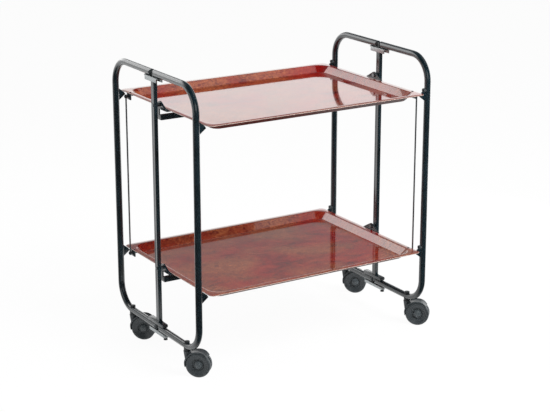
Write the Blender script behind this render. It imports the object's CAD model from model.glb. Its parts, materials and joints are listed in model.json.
"""Looks of the folding serving cart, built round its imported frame."""
import json
import math

import bmesh
import bpy
from bpy.props import FloatProperty, FloatVectorProperty, PointerProperty
from mathutils import Matrix, Vector


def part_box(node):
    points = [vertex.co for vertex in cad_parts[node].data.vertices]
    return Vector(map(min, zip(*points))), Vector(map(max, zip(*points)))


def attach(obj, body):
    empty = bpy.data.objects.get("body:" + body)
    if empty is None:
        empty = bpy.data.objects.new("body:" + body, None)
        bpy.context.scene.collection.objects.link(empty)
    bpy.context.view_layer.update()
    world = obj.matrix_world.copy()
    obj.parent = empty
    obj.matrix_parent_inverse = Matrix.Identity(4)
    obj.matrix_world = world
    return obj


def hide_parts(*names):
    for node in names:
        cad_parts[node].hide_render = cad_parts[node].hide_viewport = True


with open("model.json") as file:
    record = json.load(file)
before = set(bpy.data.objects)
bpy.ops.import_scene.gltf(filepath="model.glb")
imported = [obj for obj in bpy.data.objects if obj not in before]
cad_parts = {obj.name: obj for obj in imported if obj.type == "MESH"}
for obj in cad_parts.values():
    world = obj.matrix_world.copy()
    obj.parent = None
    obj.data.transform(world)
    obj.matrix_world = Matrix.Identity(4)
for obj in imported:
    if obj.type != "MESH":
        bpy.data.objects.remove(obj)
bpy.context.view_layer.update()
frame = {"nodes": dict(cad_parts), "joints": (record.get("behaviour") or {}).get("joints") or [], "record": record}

bl_info = {
    "name": "Folding serving cart",
    "version": (1, 0, 0),
    "blender": (4, 5, 0),
    "location": "View3D > Sidebar > Serving Cart",
    "description": "Dresses the packed frame of a two-level folding serving cart",
    "category": "Object",
}

CORNERS = ("front_left", "back_left", "front_right", "back_right")
ENDS = ("left", "right")
LEVELS = ("upper", "lower")
JOINTS = {joint["name"]: joint for joint in frame["joints"]}
BODIES = frame["record"]["behaviour"]["bodies"]
BODY_OF = {node: body for body, nodes in BODIES.items() for node in nodes}
SLOT_OF = {part["node"]: part["material_slot"] for part in frame["record"]["subparts"]}


def mm(length):
    """Millimetres to metres."""
    return length / 1000


def linear(colour):
    """An sRGB hex value such as #7a1a16 as linear red, green, blue and alpha."""
    def channel(start):
        value = int(colour[start:start + 2], 16) / 255
        return value / 12.92 if value <= 0.04045 else ((value + 0.055) / 1.055) ** 2.4
    return (channel(1), channel(3), channel(5), 1.0)


# Meshes

# Degrees: edges of solids sharper than HARD_ANGLE are rounded, edges of pressed sheet are crisp from
# SHEET_ANGLE on, and faces that differ by less than FLAT_ANGLE are one plane.
HARD_ANGLE = 32.0
SHEET_ANGLE = 40.0
FLAT_ANGLE = 0.6
MERGE_MM = 0.005


def new_piece(name, mesh, body, slot, replaced=()):
    """Links a finished mesh (metres, in place) as a piece that rides on a body and takes a finish."""
    made = bpy.data.objects.new(name, mesh)
    bpy.context.scene.collection.objects.link(made)
    mesh.materials.clear()
    mesh.materials.append(FINISHES[slot])
    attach(made, body)
    if replaced:
        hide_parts(*replaced)
    return made


def mesh_from(name, shape, sharp=HARD_ANGLE):
    """A smooth-shaded mesh from a bmesh, with edges sharper than an angle crisp. Frees the bmesh."""
    bmesh.ops.recalc_face_normals(shape, faces=shape.faces)
    mesh = bpy.data.meshes.new(name)
    shape.to_mesh(mesh)
    shape.free()
    mesh.shade_smooth()
    mesh.set_sharp_from_angle(angle=math.radians(sharp))
    return mesh


def join_rings(shape, rings, closed=False, capped=False):
    """Faces between rings of vertices; each ring is a closed loop of the same count."""
    pairs = list(zip(rings, rings[1:])) + ([(rings[-1], rings[0])] if closed else [])
    for one, two in pairs:
        count = len(one)
        for i in range(count):
            shape.faces.new((one[i], one[(i + 1) % count], two[(i + 1) % count], two[i]))
    if capped:
        shape.faces.new(list(reversed(rings[0])))
        shape.faces.new(rings[-1])


def turn(shape, profile, place, steps, capped=False):
    """Turned solid: a profile of (radius, height) in mm, turned about Z and put in place by a matrix.
    The profile is closed, or else its two ends are capped."""
    rings = []
    for radius, height in profile:
        ring = []
        for i in range(steps):
            angle = 2 * math.pi * i / steps
            at = Vector((mm(radius) * math.cos(angle), mm(radius) * math.sin(angle), mm(height)))
            ring.append(shape.verts.new(place @ at))
        rings.append(ring)
    join_rings(shape, rings, closed=not capped, capped=capped)


# A weld bead's corners, its radius at an end, and how far and how fast its radius wavers along it
BEAD_SIDES = 8
BEAD_END = 0.4
RIPPLE = 0.14
RIPPLE_TURN = 2.4


def bead(shape, path, radius, closed=False):
    """Weld bead of the given radius (m) along a path of points (m)."""
    rings = []
    count = len(path)
    normal = Vector((0.0, 0.0, 1.0))
    for i, point in enumerate(path):
        before, after = path[(i - 1) % count], path[(i + 1) % count]
        if not closed:
            before, after = path[max(i - 1, 0)], path[min(i + 1, count - 1)]
        along = (after - before).normalized()
        across = along.cross(normal)
        if across.length < 0.1:
            across = along.cross(Vector((1.0, 0.0, 0.0)))
        across.normalize()
        up = across.cross(along)
        size = radius * (1 + RIPPLE * math.sin(i * RIPPLE_TURN))
        if not closed and i in (0, count - 1):
            size *= BEAD_END
        rings.append([shape.verts.new(point + size * (math.cos(a) * across + math.sin(a) * up))
                      for a in (2 * math.pi * k / BEAD_SIDES for k in range(BEAD_SIDES))])
    join_rings(shape, rings, closed=closed, capped=not closed)


def along_line(start, end, step):
    """Points from start to end, about a step apart."""
    start, end = Vector(start), Vector(end)
    count = max(2, round((end - start).length / step))
    return [start.lerp(end, i / count) for i in range(count + 1)]


def softened(node, width, refit=None):
    """A copy of a CAD node whose hard edges are rounded by a width in mm, as real edges are.
    refit maps a point of the copy to its place where the photograph shows a finer shape."""
    shape = bmesh.new()
    shape.from_mesh(frame["nodes"][node].data)
    if refit:
        for vert in shape.verts:
            vert.co = refit(vert.co)
    bmesh.ops.remove_doubles(shape, verts=shape.verts, dist=mm(MERGE_MM))
    bmesh.ops.dissolve_limit(shape, angle_limit=math.radians(FLAT_ANGLE), verts=shape.verts,
                             edges=shape.edges)
    hard = [edge for edge in shape.edges
            if len(edge.link_faces) == 2 and edge.calc_face_angle() > math.radians(HARD_ANGLE)]
    bmesh.ops.bevel(shape, geom=hard, offset=mm(width), segments=2, profile=0.6, affect="EDGES",
                    clamp_overlap=True)
    mesh = mesh_from(node + "_soft", shape)
    return new_piece(node + "_piece", mesh, BODY_OF[node], SLOT_OF[node], (node,))


# Finishes


def add(tree, kind, settings=None, links=None):
    """One node in a tree. settings go to its properties or sockets; links join sockets to others."""
    made = tree.nodes.new(kind)
    for name, value in (settings or {}).items():
        if isinstance(name, str) and hasattr(made, name):
            setattr(made, name, value)
        else:
            made.inputs[name].default_value = value
    for name, source in (links or {}).items():
        tree.links.new(source, made.inputs[name])
    return made


def ramp(node_made, stops):
    """Sets a colour ramp's stops from (position, colour) pairs; a colour is a hex value or linear."""
    elements = node_made.color_ramp.elements
    while len(elements) > 1:
        elements.remove(elements[-1])
    for i, (position, colour) in enumerate(stops):
        stop = elements[0] if i == 0 else elements.new(position)
        stop.position = position
        stop.color = linear(colour) if isinstance(colour, str) else (*colour[:3], 1.0)
    return node_made


def new_material(name):
    """An empty node material, its tree, and its object coordinates in metres."""
    material = bpy.data.materials.new(name)
    material.use_nodes = True
    material.node_tree.nodes.clear()
    place = add(material.node_tree, "ShaderNodeTexCoord")
    return material, material.node_tree, place.outputs["Object"]


def close_material(tree, shader):
    """Joins a shader to the material's surface."""
    add(tree, "ShaderNodeOutputMaterial", links={"Surface": shader.outputs[0]})


def stove_enamel(colour):
    """Stove enamel on steel tube: sprayed and baked, so semi-gloss with a faint orange peel.
    Its thin places and the film's flow give slow changes of tone and gloss."""
    material, tree, place = new_material("Stove-enamelled steel")
    peel = add(tree, "ShaderNodeTexNoise", {"Scale": 1 / mm(2.5), "Detail": 2.0}, {"Vector": place})
    film = add(tree, "ShaderNodeTexNoise", {"Scale": 1 / mm(60), "Detail": 3.0}, {"Vector": place})
    tone = ramp(add(tree, "ShaderNodeValToRGB", links={0: film.outputs["Fac"]}),
                [(0.3, colour), (0.7, "#12242b")])
    gloss = add(tree, "ShaderNodeMapRange", {"To Min": 0.2, "To Max": 0.32},
                {"Value": film.outputs["Fac"]})
    bump = add(tree, "ShaderNodeBump", {"Strength": 0.05, "Distance": mm(0.02)},
               {"Height": peel.outputs["Fac"]})
    shader = add(tree, "ShaderNodeBsdfPrincipled",
                 {"IOR": 1.52, "Coat Weight": 1.0, "Coat Roughness": 0.2},
                 {"Base Color": tone.outputs[0], "Roughness": gloss.outputs[0],
                  "Normal": bump.outputs[0]})
    close_material(tree, shader)
    return material


def burl_laminate(dark, light):
    """Pressed laminate with a burl print under clear resin: mottled red-brown, as glossy as glass.
    Clouds about 75 mm wide carry eyes and swirls of about 16 mm, with amber patches between."""
    material, tree, place = new_material("Resin-faced mahogany burl")
    stretch = add(tree, "ShaderNodeMapping", {"Scale": (1.0, 1.7, 1.0)}, {"Vector": place})
    cloud = add(tree, "ShaderNodeTexNoise",
                {"Scale": 1 / mm(75), "Detail": 5.0, "Roughness": 0.62, "Distortion": 0.9},
                {"Vector": stretch.outputs[0]})
    grain = add(tree, "ShaderNodeTexNoise",
                {"Scale": 1 / mm(16), "Detail": 6.0, "Roughness": 0.7, "Distortion": 1.6},
                {"Vector": stretch.outputs[0]})
    patch = add(tree, "ShaderNodeTexNoise", {"Scale": 1 / mm(150), "Detail": 2.0, "Distortion": 0.4},
                {"Vector": place})
    blend = add(tree, "ShaderNodeMix", {"data_type": "FLOAT", 0: 0.34},
                {2: cloud.outputs["Fac"], 3: grain.outputs["Fac"]})
    red = ramp(add(tree, "ShaderNodeValToRGB", links={0: blend.outputs[0]}),
               [(0.34, "#320509"), (0.43, dark), (0.54, "#941e16"), (0.64, light)])
    amber = ramp(add(tree, "ShaderNodeValToRGB", links={0: grain.outputs["Fac"]}),
                 [(0.36, "#5c1a16"), (0.63, "#ac643e")])
    where = add(tree, "ShaderNodeMapRange", {"From Min": 0.36, "From Max": 0.6, "To Max": 0.8},
                {"Value": patch.outputs["Fac"]})
    both = add(tree, "ShaderNodeMix", {"data_type": "RGBA"},
               {0: where.outputs[0], 6: red.outputs[0], 7: amber.outputs[0]})
    wave = add(tree, "ShaderNodeTexNoise", {"Scale": 1 / mm(110), "Detail": 1.0}, {"Vector": place})
    bump = add(tree, "ShaderNodeBump", {"Strength": 0.15, "Distance": mm(0.4)},
               {"Height": wave.outputs["Fac"]})
    shader = add(tree, "ShaderNodeBsdfPrincipled",
                 {"Roughness": 0.1, "IOR": 1.5, "Coat Weight": 1.0, "Coat Roughness": 0.02,
                  "Coat IOR": 1.65},
                 {"Base Color": both.outputs[2], "Normal": bump.outputs[0],
                  "Coat Normal": bump.outputs[0]})
    close_material(tree, shader)
    return material


def phenolic_backing():
    """Pressed wood fibre soaked in brown phenolic resin and left plain: dark and half matt, flecked
    by its fibres."""
    material, tree, place = new_material("Phenolic-backed fibreboard")
    fleck = add(tree, "ShaderNodeTexNoise", {"Scale": 1 / mm(3), "Detail": 4.0, "Roughness": 0.7},
                {"Vector": place})
    tone = ramp(add(tree, "ShaderNodeValToRGB", links={0: fleck.outputs["Fac"]}),
                [(0.35, "#3a1a1a"), (0.65, "#5a2c2a")])
    bump = add(tree, "ShaderNodeBump", {"Strength": 0.2, "Distance": mm(0.1)},
               {"Height": fleck.outputs["Fac"]})
    shader = add(tree, "ShaderNodeBsdfPrincipled", {"Roughness": 0.45, "IOR": 1.55},
                 {"Base Color": tone.outputs[0], "Normal": bump.outputs[0]})
    close_material(tree, shader)
    return material


def cut_edge():
    """Sawn and sanded edge of the laminate: its fibre core shows, pale and half matt, in thin layers
    along the edge."""
    material, tree, place = new_material("Sanded laminate edge")
    layered = add(tree, "ShaderNodeMapping", {"Scale": (0.2, 0.2, 6.0)}, {"Vector": place})
    layer = add(tree, "ShaderNodeTexNoise", {"Scale": 1 / mm(2), "Detail": 2.0},
                {"Vector": layered.outputs[0]})
    tone = ramp(add(tree, "ShaderNodeValToRGB", links={0: layer.outputs["Fac"]}),
                [(0.35, "#96807a"), (0.65, "#c2aea4")])
    shader = add(tree, "ShaderNodeBsdfPrincipled", {"Roughness": 0.4, "IOR": 1.5},
                 {"Base Color": tone.outputs[0]})
    close_material(tree, shader)
    return material


def zinc_plate():
    """Bright zinc plating on rolled sheet: pale, satin, with a faint crystal mottle."""
    material, tree, place = new_material("Zinc-plated sheet")
    spangle = add(tree, "ShaderNodeTexVoronoi", {"Scale": 1 / mm(3)}, {"Vector": place})
    tone = ramp(add(tree, "ShaderNodeValToRGB", links={0: spangle.outputs["Distance"]}),
                [(0.0, "#a9afb1"), (1.0, "#c9cdce")])
    shader = add(tree, "ShaderNodeBsdfPrincipled", {"Metallic": 1.0, "Roughness": 0.42},
                 {"Base Color": tone.outputs[0]})
    close_material(tree, shader)
    return material


def drawn_steel():
    """Drawn steel wire and turned pins: grey metal with fine lengthways drawing marks.
    Real marks lie about 0.1 mm apart, too fine to show; these lie 0.8 mm apart."""
    material, tree, place = new_material("Drawn steel")
    lengthways = add(tree, "ShaderNodeMapping", {"Scale": (1.0, 1.0, 0.05)}, {"Vector": place})
    marks = add(tree, "ShaderNodeTexNoise", {"Scale": 1 / mm(0.8), "Detail": 2.0},
                {"Vector": lengthways.outputs[0]})
    rough = add(tree, "ShaderNodeMapRange", {"To Min": 0.38, "To Max": 0.52},
                {"Value": marks.outputs["Fac"]})
    tone = ramp(add(tree, "ShaderNodeValToRGB", links={0: marks.outputs["Fac"]}),
                [(0.2, "#868c8e"), (0.8, "#a2a8aa")])
    shader = add(tree, "ShaderNodeBsdfPrincipled", {"Metallic": 1.0},
                 {"Base Color": tone.outputs[0], "Roughness": rough.outputs[0]})
    close_material(tree, shader)
    return material


def moulded(name, colour, edge, roughness):
    """Moulded plastic or rubber: even colour with a fine spark-eroded grain and paler rubbed edges.
    The real grain is about 0.1 mm, too fine to show, so it is drawn at 0.9 mm."""
    material, tree, place = new_material(name)
    grain = add(tree, "ShaderNodeTexNoise", {"Scale": 1 / mm(0.9), "Detail": 2.0}, {"Vector": place})
    rub = add(tree, "ShaderNodeNewGeometry")
    worn = add(tree, "ShaderNodeMapRange", {"From Min": 0.52, "From Max": 0.6},
               {"Value": rub.outputs["Pointiness"]})
    tone = add(tree, "ShaderNodeMix", {"data_type": "RGBA", 6: linear(colour), 7: linear(edge)},
               {0: worn.outputs[0]})
    bump = add(tree, "ShaderNodeBump", {"Strength": 0.2, "Distance": mm(0.04)},
               {"Height": grain.outputs["Fac"]})
    shader = add(tree, "ShaderNodeBsdfPrincipled", {"Roughness": roughness, "IOR": 1.49},
                 {"Base Color": tone.outputs[2], "Normal": bump.outputs[0]})
    close_material(tree, shader)
    return material


FINISHES = {}

# Trays

# Millimetres
LIP_WIDTH = 14
WALL_RUN = 18
DISH_DEPTH = 16
TRAY_THICK = 2
LIP_CORNER = 12
DISH_CORNER = 35
FLOOR_CORNER = 8.0
FLOOR_REACH = 26
EDGE_BAND = 1.5
CORNER_STEPS = 20
ARC_STEPS = 6


def filleted(corners, radii):
    """A path of (inset, height) points in mm whose inner corners are rounded by the given radii."""
    points = [corners[0]]
    for (before, corner, after), radius in zip(zip(corners, corners[1:], corners[2:]), radii):
        corner = Vector(corner)
        back = (Vector(before) - corner).normalized()
        ahead = (Vector(after) - corner).normalized()
        half = back.angle(ahead) / 2
        reach = radius / math.tan(half)
        middle = corner + (back + ahead).normalized() * (radius / math.sin(half))
        start = corner + back * reach - middle
        end = corner + ahead * reach - middle
        sweep = math.atan2(start.x * end.y - start.y * end.x, start.dot(end))
        for i in range(ARC_STEPS + 1):
            turned = Matrix.Rotation(sweep * i / ARC_STEPS, 2) @ start
            points.append(tuple(middle + turned))
    return points + [corners[-1]]


def tray_profile(edge_r, lip_r, foot_r):
    """Section of the pressed sheet: from the floor's top over the lip's rolled edge to its underside."""
    lean = math.atan2(DISH_DEPTH, WALL_RUN)
    inset = TRAY_THICK * math.tan(lean / 2)
    foot = LIP_WIDTH + WALL_RUN
    top = filleted([(edge_r, 0), (LIP_WIDTH, 0), (foot, -DISH_DEPTH),
                    (foot + FLOOR_REACH, -DISH_DEPTH)], (lip_r, foot_r))
    low = -DISH_DEPTH - TRAY_THICK
    below = filleted([(edge_r, -TRAY_THICK), (LIP_WIDTH - inset, -TRAY_THICK), (foot - inset, low),
                      (foot + FLOOR_REACH, low)], (max(lip_r - TRAY_THICK, 0.5), foot_r + TRAY_THICK))
    edge = []
    for i in range(1, ARC_STEPS):
        angle = math.pi * (0.5 + i / ARC_STEPS)
        edge.append((edge_r + edge_r * math.cos(angle),
                     -TRAY_THICK / 2 + TRAY_THICK / 2 * math.sin(angle)))
    return list(reversed(top)) + edge + below


def corner_radius(inset):
    """Corner radius in mm of the tray's outline at an inset from the lip's edge."""
    if inset < LIP_WIDTH:
        return LIP_CORNER + (DISH_CORNER - LIP_CORNER) * inset / LIP_WIDTH
    return max(DISH_CORNER - (inset - LIP_WIDTH), FLOOR_CORNER)


def tray_mesh(name, low, high, sizes):
    """The pressed tray as one closed skin: rings of its outline, one for each point of its section."""
    shape = bmesh.new()
    middle = (low + high) / 2
    half_x, half_y = (high.x - low.x) / 2, (high.y - low.y) / 2
    rings = []
    profile = tray_profile(TRAY_THICK / 2, sizes.lip_radius * 1000, sizes.foot_radius * 1000)
    for inset, height in profile:
        radius = mm(corner_radius(inset))
        ring = []
        for quarter, (sx, sy) in enumerate(((1, 1), (-1, 1), (-1, -1), (1, -1))):
            centre = Vector((sx * (half_x - mm(inset) - radius), sy * (half_y - mm(inset) - radius), 0))
            for i in range(CORNER_STEPS + 1):
                angle = math.radians(90) * (quarter + i / CORNER_STEPS)
                at = centre + radius * Vector((math.cos(angle), math.sin(angle), 0))
                ring.append(shape.verts.new((middle.x + at.x, middle.y + at.y, high.z + mm(height))))
        rings.append(ring)
    join_rings(shape, rings, capped=True)
    return mesh_from(name, shape, SHEET_ANGLE)


def at_edge(at, low, high):
    """Whether a point of the tray with this box lies in the narrow band along the lip's outline."""
    middle, half = (low + high) / 2, (high - low) / 2
    x, y = abs(at.x - middle.x), abs(at.y - middle.y)
    radius = mm(LIP_CORNER)
    inner_x, inner_y = half.x - radius, half.y - radius
    if x > inner_x and y > inner_y:
        return math.hypot(x - inner_x, y - inner_y) > radius - mm(EDGE_BAND)
    return x > half.x - mm(EDGE_BAND) or y > half.y - mm(EDGE_BAND)


class CART_OT_trays(bpy.types.Operator):
    """Two pressed trays with rolled lips and rounded walls"""
    bl_idname = "serving_cart.trays"
    bl_label = "Trays"

    def execute(self, context):
        sizes = context.scene.serving_cart_sizes
        for level in LEVELS:
            node = level + "_tray"
            low, high = (Vector(corner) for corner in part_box(node))
            mesh = tray_mesh(node, low, high, sizes)
            new_piece(node + "_shell", mesh, level + "_tray_unit", "mahogany_gloss", (node,))
            mesh.materials.append(FINISHES["tray_backing"])
            mesh.materials.append(FINISHES["tray_edge"])
            for face in mesh.polygons:
                underneath, upright = face.normal.z < -0.05, abs(face.normal.z) < 0.95
                lip = abs(face.center.z - high.z + mm(TRAY_THICK / 2)) < mm(TRAY_THICK / 2)
                face.material_index = 1 if underneath else 0
                if lip and upright and at_edge(face.center, low, high):
                    face.material_index = 2
        return {"FINISHED"}


# Casters

# Millimetres
WHEEL_R = 30
DISC_IN = 2.85
DISC_W = 9.5
AXLE_HOLE = 3.05
HUB_R = 10.6
HUB_BULGE = 7.4
RECESS = 6.4
DISC_STEPS = 96
CAP_STEPS = 64
DOME_STEPS = 9


def wheel_place(corner, side):
    """Matrix that puts Z along the axle of a corner's wheel, outward on the given side."""
    joint = JOINTS["roll_" + corner]
    along = Vector(joint["axis"]).normalized() * side
    across = along.cross(Vector((0, 0, 1))).normalized()
    turned = Matrix((across, along.cross(across), along)).transposed().to_4x4()
    return Matrix.Translation(Vector(joint["pos_m"])) @ turned


def disc_profile():
    """Section of one disc: tread with rounded shoulders, raised rim, dished face and sunk hub seat."""
    inner, outer = DISC_IN, DISC_IN + DISC_W
    return [
        (AXLE_HOLE, inner), (WHEEL_R - 3, inner), (WHEEL_R - 0.7, inner + 0.25),
        (WHEEL_R - 0.1, inner + 1.0), (WHEEL_R, inner + 2.0), (WHEEL_R, inner + 7.0),
        (WHEEL_R - 0.25, outer - 1.6),
        (WHEEL_R - 0.9, outer - 0.7), (WHEEL_R - 1.8, outer - 0.15), (WHEEL_R - 2.6, outer),
        (WHEEL_R - 4.4, outer), (WHEEL_R - 4.9, outer - 0.15), (WHEEL_R - 5.3, outer - 0.55),
        (WHEEL_R - 5.9, outer - 0.8), (20.0, outer - 2.3), (15.6, outer - 3.9), (14.6, outer - 4.2),
        (14.1, outer - 4.7), (13.8, outer - 5.4), (13.4, outer - RECESS), (AXLE_HOLE, outer - RECESS),
    ]


def cap_profile():
    """Section of a domed hub cap, from its rim over the crown."""
    base, brim = DISC_IN + DISC_W - RECESS + 0.05, 1.3
    points = [(HUB_R - 1.2, base), (HUB_R - 0.2, base + 0.1), (HUB_R, base + 0.7),
              (HUB_R - 0.25, base + 1.2)]
    for i in range(1, DOME_STEPS):
        angle = math.radians(90) * i / DOME_STEPS
        points.append(((HUB_R - 0.6) * math.cos(angle),
                       base + brim + (HUB_BULGE - brim) * math.sin(angle)))
    return points + [(0.3, base + HUB_BULGE)]


# Degrees from straight up towards the front: where a hood's nose and tail thin out, and where it ends
HOOD_NOSE = (8, 44)
HOOD_TAIL = (-60, -100)
HOOD_RANGE = (-120, 90)
# Millimetres from the axle to the hood's lip, and the part of what stands above it that goes
HOOD_LIP_R = 31.0
HOOD_THINNING = 0.85


def hood_taper(corner):
    """Map that thins a hood's ends towards the tread, so that its outline runs into the wheel's."""
    axle, stem = (Vector(JOINTS[kind + corner]["pos_m"]) for kind in ("roll_", "swivel_"))
    ahead = Vector((axle.x - stem.x, axle.y - stem.y, 0)).normalized()

    def refit(at):
        along, height = (at - axle).dot(ahead), at.z - axle.z
        radius = math.hypot(along, height)
        angle = math.degrees(math.atan2(along, height))
        excess = radius - mm(HOOD_LIP_R)
        start, end = HOOD_NOSE if angle > 0 else HOOD_TAIL
        share = min((angle - start) / (end - start), 1.0)
        if excess <= 0 or share <= 0 or not HOOD_RANGE[0] < angle < HOOD_RANGE[1]:
            return at
        scale = (radius - HOOD_THINNING * share * share * excess) / radius
        side = at - axle - along * ahead - Vector((0, 0, height))
        return axle + side + scale * (along * ahead + Vector((0, 0, height)))
    return refit


class CART_OT_casters(bpy.types.Operator):
    """Twin wheel discs, domed hub caps, and hoods and sockets with rounded edges"""
    bl_idname = "serving_cart.casters"
    bl_label = "Casters"

    def execute(self, context):
        edge = context.scene.serving_cart_sizes.moulded_edge * 1000
        for corner in CORNERS:
            discs, caps = bmesh.new(), bmesh.new()
            for side in (1, -1):
                place = wheel_place(corner, side)
                turn(discs, disc_profile(), place, DISC_STEPS)
                turn(caps, cap_profile(), place, CAP_STEPS, capped=True)
            name, body = "wheel_discs_" + corner, "wheel_" + corner
            new_piece(name, mesh_from(name, discs), body, "wheel_plastic", ("caster_wheel_" + corner,))
            name = "hub_domes_" + corner
            domes = new_piece(name, mesh_from(name, caps), body, "wheel_plastic",
                              ("hub_caps_" + corner,))
            domes.data.materials[0] = FINISHES["hub_plastic"]
            hood = softened("caster_hood_" + corner, edge, refit=hood_taper(corner))
            hood.data.materials[0] = FINISHES["wheel_plastic"]
            softened("caster_socket_" + corner, edge)
        return {"FINISHED"}


# Frame and fittings

# Millimetres: how far the foot channel's solid reaches from the post, how far the piece reaches to the
# front and the back, how far its top and the post's foot are let down, and from where points move
CHANNEL_REACH = 55
CHANNEL_FRONT = 34
CHANNEL_BACK = 46
CHANNEL_DROP = 3.6
CHANNEL_ENDS_FROM = 20
CHANNEL_TOP_FROM = 88
POST_FOOT_UNDER = 120
# A rolled post's corners are sharper than a plate's edges by this factor
POST_EDGE = 0.6
# Millimetres
LEVER_SKIRT = 7.5
LEVER_SHEET = 1.5
LEVER_STEPS = 12


def foot_refit(at):
    """Draws in the two ends and the top of the channel that holds a centre post's foot."""
    reach = mm(CHANNEL_REACH)
    y = at.y
    if y < mm(-CHANNEL_ENDS_FROM):
        y += reach - mm(CHANNEL_FRONT)
    elif y > mm(CHANNEL_ENDS_FROM):
        y -= reach - mm(CHANNEL_BACK)
    z = at.z - mm(CHANNEL_DROP) if at.z > mm(CHANNEL_TOP_FROM) else at.z
    return Vector((at.x, y, z))


def post_refit(at):
    """Lets a centre post's foot down onto the channel's top."""
    return Vector((at.x, at.y, at.z - mm(CHANNEL_DROP) if at.z < mm(POST_FOOT_UNDER) else at.z))


def lever_mesh(name, low, high):
    """The latch lever as a pressed strip with round ends and a skirt turned down all round."""
    shape = bmesh.new()
    middle, half = (low + high) / 2, (high.x - low.x) / 2
    reach = (high.y - low.y) / 2 - half
    profile = [(2.2, 0.0), (1.4, -0.06), (0.6, -0.35), (0.15, -0.9), (0.0, -1.6),
               (0.0, 0.3 - LEVER_SKIRT), (0.3, -LEVER_SKIRT), (LEVER_SHEET - 0.3, -LEVER_SKIRT),
               (LEVER_SHEET, 0.3 - LEVER_SKIRT), (LEVER_SHEET, -2.4), (LEVER_SHEET + 0.6, -LEVER_SHEET)]
    rings = []
    for inset, height in profile:
        ring = []
        for end in (1, -1):
            for i in range(LEVER_STEPS + 1):
                angle = math.pi * (i / LEVER_STEPS + (0 if end > 0 else 1))
                radius = half - mm(inset)
                ring.append(shape.verts.new((middle.x + radius * math.cos(angle),
                                             middle.y + end * reach + radius * math.sin(angle),
                                             high.z + mm(height))))
        rings.append(ring)
    join_rings(shape, rings, capped=True)
    return mesh_from(name, shape, SHEET_ANGLE)


class CART_OT_fittings(bpy.types.Operator):
    """Posts, plates, channels, latch levers, carriers, catches and pins, with their edges rounded"""
    bl_idname = "serving_cart.fittings"
    bl_label = "Frame and fittings"

    def execute(self, context):
        sizes = context.scene.serving_cart_sizes
        edge, burr = sizes.sheet_edge * 1000, sizes.moulded_edge * 1000
        for end in ENDS:
            softened("top_plate_" + end, edge)
            softened("foot_channel_" + end, edge, refit=foot_refit)
            softened("foot_plugs_" + end, burr, refit=foot_refit)
            softened("latch_peg_" + end, burr)
            softened("centre_post_" + end, edge * POST_EDGE, refit=post_refit)
            node = "latch_lever_" + end
            low, high = (Vector(at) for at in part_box(node))
            new_piece(node + "_strip", lever_mesh(node, low, high), "latch_" + end, "zinc_plate",
                      (node,))
        for level in LEVELS:
            for name in ("_carrier", "_rod_tabs", "_tray_rivets"):
                softened(level + name, edge)
        for corner in CORNERS:
            softened("catches_" + corner, edge)
            if corner.endswith("right"):
                softened("buffers_" + corner, burr)
        softened("hinge_pins", edge)
        softened("tray_pivot_bolts", edge)
        return {"FINISHED"}


# Millimetres: the tube, the spacing of a seam's rings, and how far it runs below and above a tray's lip
TUBE_R = 8
WELD_STEP = 1.3
WELD_BELOW = 20.5
WELD_ABOVE = 5
# Parts of a seam's radius that its middle lies beside the catch, off the tube and above the channel
WELD_ASIDE = 0.3
WELD_OFF = 0.2
WELD_OVER = 0.35
WELD_ANGLE = 60


class CART_OT_welds(bpy.types.Operator):
    """Weld seams at the catches and round the feet of the centre posts"""
    bl_idname = "serving_cart.welds"
    bl_label = "Weld seams"

    def execute(self, context):
        radius = context.scene.serving_cart_sizes.weld_radius
        for corner in CORNERS:
            low, high = (Vector(at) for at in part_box("catches_" + corner))
            side = 1 if corner.endswith("right") else -1
            post_x = JOINTS["swing_" + corner]["pos_m"][0]
            middle_y = (low.y + high.y) / 2
            off = (high.y - low.y) / 2 + radius * WELD_ASIDE
            x = post_x - side * math.sqrt((mm(TUBE_R) + radius * WELD_OFF) ** 2 - off ** 2)
            seams = bmesh.new()
            for top in (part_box(level + "_tray")[1][2] for level in LEVELS):
                for y in (middle_y - off, middle_y + off):
                    start, stop = (x, y, top - mm(WELD_BELOW)), (x, y, top + mm(WELD_ABOVE))
                    line = along_line(start, stop, mm(WELD_STEP))
                    bead(seams, line, radius)
            name = "catch_welds_" + corner
            new_piece(name, mesh_from(name, seams, WELD_ANGLE), "half_" + corner, "black_lacquer")
        for end in ENDS:
            low, high = (Vector(at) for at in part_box("centre_post_" + end))
            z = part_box("foot_channel_" + end)[1][2] - mm(CHANNEL_DROP) + radius * WELD_OVER
            loop = [(low.x, low.y, z), (high.x, low.y, z), (high.x, high.y, z), (low.x, high.y, z)]
            path = []
            for start, stop in zip(loop, loop[1:] + loop[:1]):
                path += along_line(start, stop, mm(WELD_STEP))[:-1]
            seam = bmesh.new()
            bead(seam, path, radius, closed=True)
            name = "post_weld_" + end
            new_piece(name, mesh_from(name, seam, WELD_ANGLE), "core", "black_lacquer")
        return {"FINISHED"}


# Stage

PHOTO_WIDTH = 550
SENSOR = 36.0
CAMERA_AT = (-1.93603, -3.13452, 1.45705)
CAMERA_YAW = 31.832
CAMERA_PITCH = 17.026
FOCAL_PIXELS = 1555.47


def make_camera():
    """Camera solved from the photograph's perspective, without lens shift."""
    data = bpy.data.cameras.new("Camera")
    data.sensor_width = SENSOR
    data.lens = FOCAL_PIXELS / PHOTO_WIDTH * SENSOR
    camera = bpy.data.objects.new("Camera", data)
    camera.location = CAMERA_AT
    camera.rotation_euler = (math.radians(90 - CAMERA_PITCH), 0, math.radians(-CAMERA_YAW))
    bpy.context.scene.collection.objects.link(camera)
    bpy.context.scene.camera = camera


WHITE = (1, 1, 1, 1)
# What gloss mirrors: a dim room whose bright back starts BACK_FROM behind the middle and narrows by
# BACK_SPREAD to the sides, and the lit paper under the object, from PAPER_LEFT and PAPER_FRONT (m) on
DIM_ROOM = 0.05
BACK_SPREAD = -0.5
BACK_FROM = 0.25
BACKDROP = 1.12
PAPER_LEFT = -0.62
PAPER_FRONT = -0.24
PAPER = 0.8
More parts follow.
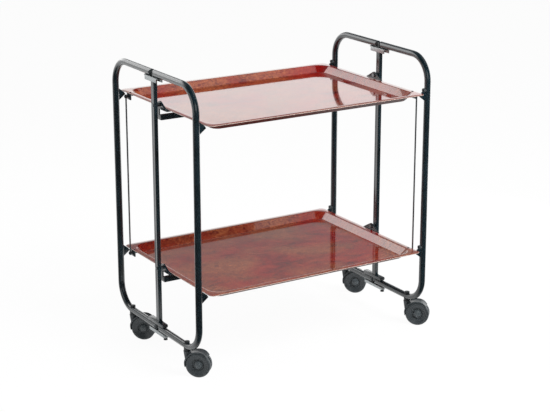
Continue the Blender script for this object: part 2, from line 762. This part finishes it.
# What matt surfaces get from all sides
FILL = 0.36
# The share of the floor that the camera sees as plain white, and half its side in metres
FLOOR_WHITE = 0.95
FLOOR_HALF = 6.0


def bright_back(tree, place, soft):
    """DIM_ROOM towards the room's front and sides, 1 towards its bright back, with a soft border."""
    part = add(tree, "ShaderNodeSeparateXYZ", links={0: place})
    aside = add(tree, "ShaderNodeMath", {"operation": "ABSOLUTE"}, {0: part.outputs["X"]})
    back = add(tree, "ShaderNodeMath", {"operation": "MULTIPLY_ADD", 1: BACK_SPREAD},
               {0: aside.outputs[0], 2: part.outputs["Y"]})
    return add(tree, "ShaderNodeMapRange",
               {"From Min": BACK_FROM - soft, "From Max": BACK_FROM + soft, "To Min": DIM_ROOM},
               {"Value": back.outputs[0]})


def make_world():
    """White to the camera, an even fill to matt surfaces, and to gloss a dim studio with a bright low
    back."""
    world = bpy.data.worlds.new("Studio")
    bpy.context.scene.world = world
    world.use_nodes = True
    tree = world.node_tree
    tree.nodes.clear()
    place = add(tree, "ShaderNodeTexCoord")
    part = add(tree, "ShaderNodeSeparateXYZ", links={0: place.outputs["Generated"]})
    height = add(tree, "ShaderNodeMapRange", {"From Min": -1.0}, {"Value": part.outputs["Z"]})
    level = ramp(add(tree, "ShaderNodeValToRGB", links={0: height.outputs[0]}),
                 [(0.0, "#ffffff"), (0.62, "#ffffff"), (0.65, "#868686"), (0.8, "#7c7c7c"),
                  (0.9, "#5a5a5a"), (1.0, "#3c3c3c")])
    side = bright_back(tree, place.outputs["Generated"], 0.2)
    ray = add(tree, "ShaderNodeLightPath")
    seen = add(tree, "ShaderNodeBackground", {"Color": WHITE, "Strength": 1.0})
    strong = add(tree, "ShaderNodeMath", {"operation": "MULTIPLY", 1: BACKDROP}, {0: side.outputs[0]})
    mirrored = add(tree, "ShaderNodeBackground",
                   links={"Color": level.outputs[0], "Strength": strong.outputs[0]})
    filled = add(tree, "ShaderNodeBackground", {"Color": WHITE, "Strength": FILL})
    glossy = add(tree, "ShaderNodeMixShader",
                 links={0: ray.outputs["Is Glossy Ray"], 1: filled.outputs[0], 2: mirrored.outputs[0]})
    whole = add(tree, "ShaderNodeMixShader",
                links={0: ray.outputs["Is Camera Ray"], 1: glossy.outputs[0], 2: seen.outputs[0]})
    add(tree, "ShaderNodeOutputWorld", links={"Surface": whole.outputs[0]})


def make_floor():
    """Pale paper sweep: white to the camera, but for a soft shadow under the object."""
    mesh = bpy.data.meshes.new("floor")
    corners = [(x * FLOOR_HALF, y * FLOOR_HALF, 0) for x, y in ((-1, -1), (1, -1), (1, 1), (-1, 1))]
    mesh.from_pydata(corners, [], [(0, 1, 2, 3)])
    floor = bpy.data.objects.new("floor", mesh)
    bpy.context.scene.collection.objects.link(floor)
    material, tree, place = new_material("Pale paper")
    paper = add(tree, "ShaderNodeBsdfDiffuse", {"Color": WHITE})
    glow = add(tree, "ShaderNodeEmission", {"Color": WHITE, "Strength": 1.0})
    back = bright_back(tree, place, 0.25)
    part = add(tree, "ShaderNodeSeparateXYZ", links={0: place})
    under = add(tree, "ShaderNodeMapRange", {"From Min": PAPER_LEFT, "From Max": PAPER_LEFT + 0.1},
                {"Value": part.outputs["X"]})
    behind = add(tree, "ShaderNodeMapRange",
                 {"From Min": PAPER_FRONT, "From Max": PAPER_FRONT + 0.08, "To Max": PAPER},
                 {"Value": part.outputs["Y"]})
    near = add(tree, "ShaderNodeMath", {"operation": "MULTIPLY"},
               {0: under.outputs[0], 1: behind.outputs[0]})
    bright = add(tree, "ShaderNodeMath", {"operation": "MAXIMUM"},
                 {0: back.outputs[0], 1: near.outputs[0]})
    mirrored = add(tree, "ShaderNodeEmission", {"Color": WHITE}, {"Strength": bright.outputs[0]})
    ray = add(tree, "ShaderNodeLightPath")
    share = add(tree, "ShaderNodeMath", {"operation": "MULTIPLY", 1: FLOOR_WHITE},
                {0: ray.outputs["Is Camera Ray"]})
    seen = add(tree, "ShaderNodeMixShader",
               links={0: share.outputs[0], 1: paper.outputs[0], 2: glow.outputs[0]})
    whole = add(tree, "ShaderNodeMixShader",
                links={0: ray.outputs["Is Glossy Ray"], 1: seen.outputs[0], 2: mirrored.outputs[0]})
    close_material(tree, whole)
    mesh.materials.append(material)


MIDDLE = (0, 0, 0.4)
# Name, place, aim, size in metres, watts, and whether gloss mirrors the lamp
LAMPS = (
    ("Key softbox", (0.9, -2.1, 2.4), MIDDLE, (1.5, 1.5), 98, False),
    ("Front softbox", (-0.6, -2.3, 1.3), (-0.1, -0.1, 0.2), (1.6, 1.1), 6, True),
    ("Left softbox", (-2.6, 0.2, 0.9), MIDDLE, (1.4, 1.6), 7, True),
    ("Side panel", (1.35, 0.1, 0.5), (0.3, 0.0, 0.5), (0.9, 1.3), 5, True),
    ("Back softbox", (-0.66, 1.42, 1.42), (-0.066, 0.142, 0.8), (1.5, 1.0), 9, True),
    ("Right panel", (1.2, -0.45, 2.7), MIDDLE, (2.0, 1.0), 3.5, True),
)


def area_light(name, at, aim, size, power, mirrored):
    """Rectangular lamp that the camera doesn't see, turned to what it lights."""
    data = bpy.data.lights.new(name, "AREA")
    data.shape = "RECTANGLE"
    data.size, data.size_y = size
    data.energy = power
    lamp = bpy.data.objects.new(name, data)
    lamp.location = at
    lamp.visible_glossy = mirrored
    lamp.visible_camera = False
    lamp.rotation_euler = (Vector(aim) - Vector(at)).to_track_quat("-Z", "Y").to_euler()
    bpy.context.scene.collection.objects.link(lamp)


class CART_OT_stage(bpy.types.Operator):
    """Camera, floor, world and lamps"""
    bl_idname = "serving_cart.stage"
    bl_label = "Stage"

    def execute(self, context):
        make_camera()
        make_world()
        make_floor()
        for lamp in LAMPS:
            area_light(*lamp)
        context.scene.view_settings.view_transform = "Standard"
        return {"FINISHED"}


class CART_OT_finishes(bpy.types.Operator):
    """Materials of all the slots, put on the carried-over parts too"""
    bl_idname = "serving_cart.finishes"
    bl_label = "Finishes"

    def execute(self, context):
        colours = context.scene.serving_cart_colours
        FINISHES.update({
            "black_lacquer": stove_enamel(colours.lacquer),
            "zinc_plate": zinc_plate(),
            "steel": drawn_steel(),
            "mahogany_gloss": burl_laminate(colours.tray_dark, colours.tray_light),
            "tray_backing": phenolic_backing(),
            "tray_edge": cut_edge(),
            "black_plastic": moulded("Black nylon", "#1c2022", "#34393b", 0.42),
            "wheel_plastic": moulded("Dark grey nylon", "#3a3f42", "#666d70", 0.3),
            "hub_plastic": moulded("Grey nylon", "#484e51", "#666c6f", 0.24),
            "grey_rubber": moulded("Dark grey rubber", "#33383a", "#474d50", 0.6),
        })
        for node, shape in frame["nodes"].items():
            shape.data.materials.clear()
            shape.data.materials.append(FINISHES[SLOT_OF[node]])
        return {"FINISHED"}


class CartSizes(bpy.types.PropertyGroup):
    """Sizes of the roundings and seams"""
    lip_radius: FloatProperty(name="Lip radius", description="Radius between a tray's lip and its wall",
                              default=mm(3.5), unit="LENGTH")
    foot_radius: FloatProperty(name="Foot radius",
                               description="Radius between a tray's wall and its floor",
                               default=mm(7), unit="LENGTH")
    sheet_edge: FloatProperty(name="Sheet edge", description="Rounding of pressed and sawn steel edges",
                              default=mm(0.45), unit="LENGTH")
    moulded_edge: FloatProperty(name="Moulded edge", description="Rounding of moulded plastic edges",
                                default=mm(0.6), unit="LENGTH")
    weld_radius: FloatProperty(name="Weld radius", description="Half the width of a weld seam",
                               default=mm(1.1), unit="LENGTH")


class CartColours(bpy.types.PropertyGroup):
    """Main colours"""
    lacquer: FloatVectorProperty(name="Lacquer", description="Stove enamel on the frame",
                                 subtype="COLOR", size=4, min=0, max=1, default=linear("#08151a"))
    tray_dark: FloatVectorProperty(name="Tray, dark", description="Darker red of the burl print",
                                   subtype="COLOR", size=4, min=0, max=1, default=linear("#740b11"))
    tray_light: FloatVectorProperty(name="Tray, light", description="Lighter brown of the burl print",
                                    subtype="COLOR", size=4, min=0, max=1, default=linear("#a0402a"))


class CART_PT_panel(bpy.types.Panel):
    """Steps that dress the cart, in order"""
    bl_idname = "CART_PT_panel"
    bl_label = "Serving Cart"
    bl_space_type = "VIEW_3D"
    bl_region_type = "UI"
    bl_category = "Serving Cart"

    def draw(self, context):
        for group in (context.scene.serving_cart_sizes, context.scene.serving_cart_colours):
            for name in group.__annotations__:
                self.layout.prop(group, name)
        for step in STEPS:
            self.layout.operator(step.bl_idname)


STEPS = (CART_OT_stage, CART_OT_finishes, CART_OT_trays, CART_OT_casters, CART_OT_fittings,
         CART_OT_welds)
CLASSES = (CartSizes, CartColours) + STEPS + (CART_PT_panel,)


def register():
    for made in CLASSES:
        bpy.utils.register_class(made)
    bpy.types.Scene.serving_cart_sizes = PointerProperty(type=CartSizes)
    bpy.types.Scene.serving_cart_colours = PointerProperty(type=CartColours)


def unregister():
    del bpy.types.Scene.serving_cart_colours
    del bpy.types.Scene.serving_cart_sizes
    for made in reversed(CLASSES):
        bpy.utils.unregister_class(made)


def main():
    register()
    for step in STEPS:
        group, name = step.bl_idname.split(".")
        getattr(getattr(bpy.ops, group), name)()


if __name__ == "__main__":
    main()
